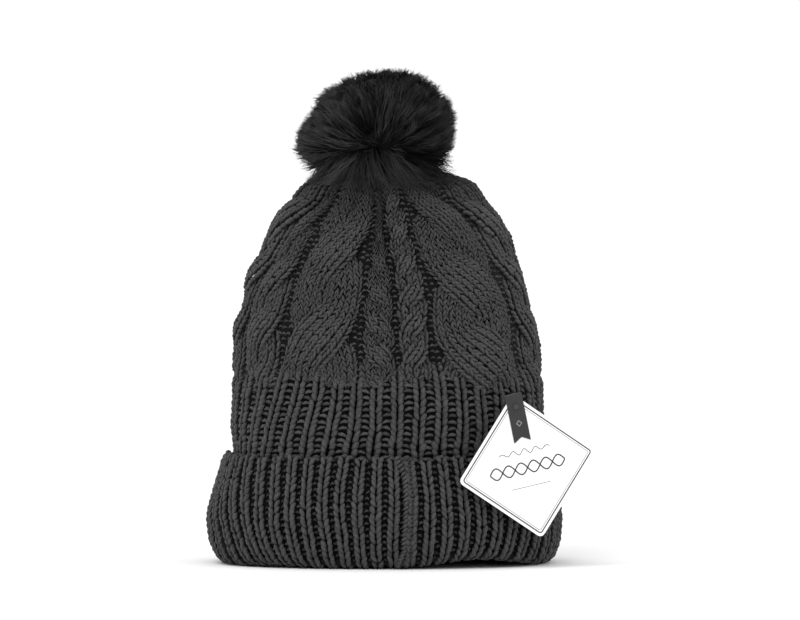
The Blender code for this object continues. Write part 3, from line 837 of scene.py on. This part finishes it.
POM_CENTRE = np.array((-0.0054, 0.0, 0.2790))
POM_REACH = np.array((0.0500, 0.0490, 0.0368))
POM_OUTLINE = np.array((  # direction seen from the front, in degrees, and fullness there
    (-180, 0.97), (-167, 1.05), (-157, 1.15), (-146, 1.12), (-125, 1.08), (-90, 1.05),
    (-50, 1.04), (-26, 1.07), (-18, 1.03), (0, 0.97), (10, 1.04), (32, 1.05), (54, 1.07),
    (68, 1.05), (87, 0.99), (105, 0.95), (118, 0.93), (125, 0.88), (135, 0.92), (152, 0.90),
    (162, 0.87), (180, 0.97),
))
POM_PILE = 0.74  # the hairs' roots, as a share of the reach
FUR_POLE = unit_rows(np.array((0.07, -0.79, -0.61)))  # the parting at the front; one at the back
COMBED = 0.62  # how far the hairs turn away from a parting
FUR_HEIGHTS = (0.2335, 0.3235)
CLEAR = 1.04  # the hairs keep this far from the hat's axis, as a share of the way to its skin
TUFT_PULL, FRINGE_PULL = (0.35, 0.85), (0.05, 0.35)  # how far hairs are drawn to their tuft
STRAY, FRINGE_STRAY = 0.025, 0.06  # how far each hair strays from its direction
LEFT_LIGHT_TONES = ((-0.6, -0.1, 0.6), (2.3, 0.90, 1.0))  # painted light: from left to right, lighter on the left
HAIR_STEPS, HAIR_SIDES = 6, 3
HAIR_REFERENCE = np.array((0.13, 0.31, 0.94))  # a direction that no hair runs along


def pom_reach(ball):
    """How far the fur reaches in each direction."""
    turn = np.degrees(np.arctan2(ball[..., 2], ball[..., 0]))
    fullness = np.interp(turn, POM_OUTLINE[:, 0], POM_OUTLINE[:, 1])
    facing = ball[..., 0] ** 2 + ball[..., 2] ** 2
    return POM_REACH * (1 + (fullness - 1) * facing)[..., None]


def pom_point(ball, share):
    return POM_CENTRE + ball * pom_reach(ball) * np.asarray(share)[..., None]


def even_ball(count):
    """Directions spread evenly over a ball, in random order."""
    u = rng.uniform(-1, 1, count)
    turn = rng.uniform(0, 2 * math.pi, count)
    flat = np.sqrt(1 - u**2)
    return np.stack([flat * np.cos(turn), flat * np.sin(turn), u], axis=1)


def comb(ball, strength):
    """Turns directions away from the partings at the front and the back."""
    for pole in (FUR_POLE, FUR_POLE * (1, -1, 1)):
        ball = ball - strength * pole * np.maximum(ball @ pole, 0)[:, None]
    return unit_rows(ball)


def crown_section(height):
    """The hat's middle, half width and half depth at this height."""
    heights, *columns = BODY.level(np.linspace(0, BODY.end - 0.001, 300))
    return (np.interp(height, heights, column) for column in columns)


def clear_of_crown(path):
    """Pushes points that would lie inside the crown out to its surface."""
    z = path[..., 2]
    centre, width, depth = crown_section(z)
    x, y = path[..., 0] - centre, path[..., 1]
    inside = ((abs(x) / width) ** ROUNDNESS + (abs(y) / depth) ** ROUNDNESS) ** (1 / ROUNDNESS)
    low = z < CROWN_HEIGHT
    push = np.where(low & (inside < CLEAR), CLEAR / np.maximum(inside, 0.3), 1.0)
    near_axis = low & (inside < 0.55)
    path[..., 0] = np.where(near_axis, path[..., 0], centre + x * push)
    path[..., 1] = np.where(near_axis, path[..., 1], y * push)
    path[..., 2] = np.where(near_axis, CROWN_HEIGHT + 0.0010, z)
    return path


def fringe_place(direction, height):
    """Just outside the crown at this height, straight below a direction of the pom."""
    centre, width, depth = crown_section(height)
    turn = np.arctan2(direction[:, 1], direction[:, 0])
    c, s = np.cos(turn), np.sin(turn)
    x = centre + (width + FRINGE_OFF) * np.sign(c) * abs(c) ** (2 / ROUNDNESS)
    y = (depth + FRINGE_OFF) * np.sign(s) * abs(s) ** (2 / ROUNDNESS)
    return np.stack([x, y, height], axis=1)


FRINGE_LOW = 0.2365  # where the fur ends at the front and the back
FRINGE_SIDE_RISE = 0.006  # and this much higher at the sides
FRINGE_OFF = 0.0030  # its ends stand off the crown


def hair_directions(count, tufts, fringe):
    """For each hair, the direction of its root and of its tip, and the number of its tuft."""
    ball = even_ball(count)
    tuft = comb(even_ball(tufts), COMBED)
    aim = comb(ball, COMBED)
    if fringe:
        turn = rng.uniform(0, 2 * math.pi, count)
        aim = unit_rows(np.stack([np.cos(turn), np.sin(turn), np.full(count, -1.1)], axis=1))
        low = rng.uniform(-0.95, -0.45, count)
        ball = unit_rows(np.stack([0.5 * np.cos(turn), np.sin(turn), low], axis=1))
        tuft = unit_rows(tuft * (1, 1, 0) + (0, 0, -1.1) + rng.normal(0, 0.05, (tufts, 3)))
    nearest = np.argmax(aim @ tuft.T, axis=1)
    pull = rng.uniform(*(FRINGE_PULL if fringe else TUFT_PULL), tufts)[nearest][:, None]
    tuft_lean = rng.normal(0, 0.05, (tufts, 3))
    aim = unit_rows(aim * (1 - pull) + tuft[nearest] * pull + tuft_lean[nearest])
    aim = unit_rows(aim + rng.normal(0, FRINGE_STRAY if fringe else STRAY, (count, 3)))
    return ball, aim, nearest


def make_hairs(name, count, tufts, layer, width, tone, fringe=False, body="pom"):
    """Long hairs: each leaves the pile outwards, bends away from the parting and ends in a
    point, drawn together with its neighbours into tufts. Those of a fringe hang down."""
    ball, aim, nearest = hair_directions(count, tufts, fringe)
    reach = 1 + rng.normal(0, 0.014, tufts)[nearest] + rng.normal(0, 0.020, count)
    root = pom_point(ball, np.full(count, POM_PILE * layer))
    tip = pom_point(aim, reach * (0.35 + 0.65 * layer))
    drop = np.clip((-0.35 - aim[:, 2]) / 0.25, 0, 1)[:, None]
    sideways = abs(aim[:, 0]) / np.hypot(aim[:, 0], aim[:, 1])
    end = FRINGE_LOW + FRINGE_SIDE_RISE * np.clip(sideways * 1.4 - 0.4, 0, 1) + abs(
        rng.normal(0, 0.0050, tufts)[nearest] + rng.normal(0, 0.0015, count))
    tip = tip * (1 - drop) + fringe_place(aim, end) * drop
    middle = pom_point(unit_rows(ball * 0.7 + aim * 0.3), np.full(count, 0.93 * layer))
    if fringe:
        middle = pom_point(unit_rows(ball + aim), np.full(count, 1.10)) + (0, 0, -0.002)
    t = np.linspace(0, 1, HAIR_STEPS)[None, :, None]
    path = root[:, None] * (1 - t) ** 2 + middle[:, None] * 2 * t * (1 - t) + tip[:, None] * t**2
    curl = rng.normal(0, 0.0011, (tufts, 1, 3))[nearest] + rng.normal(0, 0.0005, (count, 1, 3))
    phase = rng.uniform(0, 2 * math.pi, tufts)[nearest][:, None, None]
    path = clear_of_crown(path + curl * np.sin(t * 5.5 + phase) * t)
    path[..., 2] = np.clip(path[..., 2], *FUR_HEIGHTS)
    radius = width * rng.uniform(0.7, 1.3, count)[:, None] * (1.0 - 0.92 * t[..., 0] ** 1.5)
    tones = rng.uniform(0.10, 1.30, tufts)[nearest] * rng.uniform(0.35, 1.45, count) * tone
    # painted light: hairs on the pom's left are drawn lighter
    tones = tones * np.interp(ball[:, 0], *LEFT_LIGHT_TONES)
    tones = tones * (1 + 0.6 * drop[:, 0])
    # painted shade: each hair is darkest at its root, deep in the fur, and lightens to its tip
    return hair_mesh(name, path, radius, np.clip(tones[:, None] * t[..., 0] ** 1.1, 0, 1), body)


def hair_mesh(name, path, radius, shade, body):
    """Three-sided tapering hairs along these paths, closed at both ends."""
    count, steps, _ = path.shape
    along = unit_rows(np.gradient(path, axis=1))
    side = unit_rows(np.cross(along, HAIR_REFERENCE))
    up = np.cross(along, side)
    turns = 2 * math.pi * np.arange(HAIR_SIDES) / HAIR_SIDES
    corners = [side * math.cos(turn) + up * math.sin(turn) for turn in turns]
    points = path[:, :, None] + np.stack(corners, axis=2) * radius[:, :, None, None]
    size = steps * HAIR_SIDES
    starts = (np.arange(count) * size)[:, None, None]
    quads = ring_quads(steps, HAIR_SIDES)[None] + starts
    caps = np.array(((0, 2, 1), (size - 3, size - 2, size - 1)))[None] + starts
    return mesh_object(name, points.reshape(-1, 3), quads.reshape(-1, 4), FUR, body, "faux_fur",
                       caps.reshape(-1, 3), shade=np.repeat(shade, HAIR_SIDES, axis=1).ravel())


def make_pom():
    long_fur = make_hairs("pom_long_fur", 6000, 620, 1.0, 0.00038, 1.0)
    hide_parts("pom_fur_cover")
    make_hairs("pom_fur", 5600, 500, 0.985, 0.00038, 1.0)
    # painted shade: the inner fur is drawn at a darker tone, deep in the pom
    make_hairs("pom_inner_fur", 4600, 280, 0.90, 0.00066, 0.45)
    fringe = make_hairs("pom_fringe", 3000, 160, 1.0, 0.00044, 0.8, fringe=True, body=None)
    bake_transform(fringe)
    rows, sides = 48, 72
    v = np.linspace(0.02, math.pi - 0.02, rows)
    a = np.linspace(0, 2 * math.pi, sides, endpoint=False)
    vv, aa = np.meshgrid(v, a, indexing="ij")
    ball = np.stack([np.sin(vv) * np.cos(aa), np.sin(vv) * np.sin(aa), np.cos(vv)], axis=-1)
    lumps = 1 + 0.03 * np.sin(aa * 9 + vv * 5) * np.sin(vv * 11) + rng.normal(0, 0.01, vv.shape)
    points = pom_point(ball.reshape(-1, 3), 0.85 * lumps.ravel())
    points[:, 2] = np.maximum(points[:, 2], CROWN_HEIGHT + 0.0025)
    last = (rows - 1) * sides
    caps = [(0, j, j + 1) for j in range(1, sides - 1)]
    caps += [(last, last + j + 1, last + j) for j in range(1, sides - 1)]
    # painted shade: a near-black shell under the hairs, dark as the shade inside the pom
    mesh_object("pom_underfur_painted_shade", points, ring_quads(rows, sides)[:, ::-1], FUR, "pom",
                "faux_fur", np.array(caps), shade=np.full(len(points), 0.05))


# ---------------------------------------- hang tag

TAG_HOLE = Vector((0.0813, -0.0735, 0.1011))
TAG_TURN = Matrix.Rotation(math.radians(17), 3, "Z") @ Matrix.Rotation(math.radians(-12), 3, "Y")
TAG_MIDDLE = -0.0378  # the card's middle, down from its hole
CARD_HALF = 0.0325
TAG_FACE = -0.00026  # just in front of the card
RIBBON_FACE = -0.00098  # and of the ribbon
BORDER_IN, INNER_BORDER_IN = 0.0021, 0.0034  # the two border lines, in from the card's edge


def tag_line(name, runs, width, material, closed=False, face=TAG_FACE, slot="white_card"):
    """Printed lines on the card's face, as thin flat strips: runs are lists of (across, up)."""
    points, faces = [], []
    for run in runs:
        run = [Vector(p) for p in run]
        first = len(points)
        for i, p in enumerate(run):
            before = run[i - 1] if i or closed else p
            after = run[(i + 1) % len(run)] if closed or i + 1 < len(run) else p
            a, b = (p - before), (after - p)
            a = a.normalized() if a.length else b.normalized()
            b = b.normalized() if b.length else a
            normal = Vector((-(a.y + b.y), a.x + b.x)).normalized()
            reach = width / 2 / max(0.5, normal.dot(Vector((-b.y, b.x))))
            for side in (-1, 1):
                q = p + normal * reach * side
                points.append(TAG_HOLE + TAG_TURN @ Vector((q.x, face, q.y)))
        steps = len(run) if closed else len(run) - 1
        for i in range(steps):
            a, b = first + 2 * i, first + 2 * ((i + 1) % len(run))
            faces.append((a, b, b + 1, a + 1))
    mesh_object(name, np.array(points), np.array(faces), material, "tag", slot)


def rounded_square(half, corner, steps=6):
    """A square stood on its corner round the card's middle, with rounded corners."""
    outline = []
    reach = (half - corner) * math.sqrt(2)
    for k in range(4):
        middle = math.pi / 2 * (k + 1)
        for step in range(steps + 1):
            turn = middle - math.pi / 4 + math.pi / 2 * step / steps
            outline.append((reach * math.cos(middle) + corner * math.cos(turn),
                            reach * math.sin(middle) + corner * math.sin(turn) + TAG_MIDDLE))
    return outline


def twist(width, middle, height, turns, side):
    """One strand of a small drawn cable."""
    return [
        (width * (s - 0.5), middle + side * height * math.sin(s * math.pi * turns))
        for s in np.linspace(0, 1, 24 * turns)
    ]


def make_tag():
    tag_line("card_border", [rounded_square(CARD_HALF - BORDER_IN, 0.0016)], 0.00085, INK,
             closed=True)
    tag_line("card_inner_border", [rounded_square(CARD_HALF - INNER_BORDER_IN, 0.0010)], 0.00055,
             INK_LIGHT, closed=True)
    # plain ornaments where such cards are printed: a fine wave, a drawn cable and a rule
    fine = [(0.034 * (s - 0.5), TAG_MIDDLE + 0.0095 + 0.0016 * math.sin(s * math.pi * 9)
             * (0.4 + 0.6 * math.sin(s * math.pi))) for s in np.linspace(0, 1, 150)]
    tag_line("card_wave", [fine], 0.00050, INK)
    cable = [twist(0.050, TAG_MIDDLE - 0.0008, 0.0036, 6, side) for side in (-1, 1)]
    tag_line("card_cable", cable, 0.00095, INK)
    tag_line("card_rule", [[(-0.0130, TAG_MIDDLE - 0.0125), (0.0130, TAG_MIDDLE - 0.0125)]],
             0.00036, INK)
    diamond = [(0, -0.0088), (0.0017, -0.0105), (0, -0.0122), (-0.0017, -0.0105)]
    tag_line("ribbon_diamond", [diamond], 0.0006, MARK, closed=True, face=RIBBON_FACE,
             slot="grey_ribbon")


# ---------------------------------------- CAD pieces that stay


def finish_cad_pieces():
    looks = {
        "body_seam": YARN_PAINTED_SHADE,
        "crown_gather_yarn": YARN_PAINTED_SHADE,
        "pom_filling": FIBRE,
        "pom_base_disc": BLACK,
        "pom_gather_thread": THREAD,
        "tie_cord_upper": CORD,
        "tie_cord_lower": CORD,
        "anchor_button": BLACK,
        "care_label": SATIN,
        "label_stitch_left": THREAD,
        "label_stitch_right": THREAD,
        "tag_card": CARD,
        "tag_ribbon": RIBBON,
        "tag_pin_thread": NYLON,
        "tag_pin_bar": NYLON,
    }
    for name, material in looks.items():
        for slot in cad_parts[name].material_slots:
            slot.material = material


# ---------------------------------------- stage, light and camera


def make_stage():
    bpy.ops.mesh.primitive_plane_add(size=9.0, location=(0, 0, 0))
    floor = bpy.context.object
    floor.name = "floor"
    n = Nodes("floor_white")
    n.set(Base_Color=grey(0.93), Roughness=0.95)
    n.shader.inputs["Specular IOR Level"].default_value = 0.0
    floor.data.materials.append(n.material)


def area_light(name, place, target, size, power):
    data = bpy.data.lights.new(name, "AREA")
    data.shape = "SQUARE"
    data.size = size
    data.energy = power
    light = bpy.data.objects.new(name, data)
    light.location = place
    light.rotation_euler = (Vector(target) - Vector(place)).to_track_quat("-Z", "Y").to_euler()
    bpy.context.scene.collection.objects.link(light)


WORLD_LIGHT = 1.08
LIGHT_TARGET = (0, 0, 0.14)


def make_light():
    world = bpy.data.worlds.new("studio")
    world.use_nodes = True
    world.node_tree.nodes["Background"].inputs[0].default_value = (1, 1, 1, 1)
    world.node_tree.nodes["Background"].inputs[1].default_value = WORLD_LIGHT
    bpy.context.scene.world = world
    bpy.context.scene.view_settings.view_transform = "Standard"
    area_light("key", (-0.8, -1.6, 2.2), LIGHT_TARGET, 1.2, 24)
    area_light("fill", (1.3, -2.2, 0.9), LIGHT_TARGET, 1.6, 6)


VIEW_WIDTH = 0.512  # seen at the hat's middle, across the picture
VIEW_DISTANCE = 2.6
VIEW_CENTRE = Vector((0.0096, 0.0, 0.1613))
SENSOR = 36.0


def make_camera():
    data = bpy.data.cameras.new("camera")
    data.sensor_width = SENSOR
    data.lens = SENSOR * VIEW_DISTANCE / VIEW_WIDTH
    camera = bpy.data.objects.new("camera", data)
    camera.location = VIEW_CENTRE - Vector((0, VIEW_DISTANCE, 0))
    camera.rotation_euler = (math.radians(90), 0, 0)
    bpy.context.scene.collection.objects.link(camera)
    bpy.context.scene.camera = camera


make_camera()
make_stage()
make_light()
make_ground()
make_cables()
make_band()
make_cuff()
make_seam()
make_pom()
make_tag()
finish_cad_pieces()
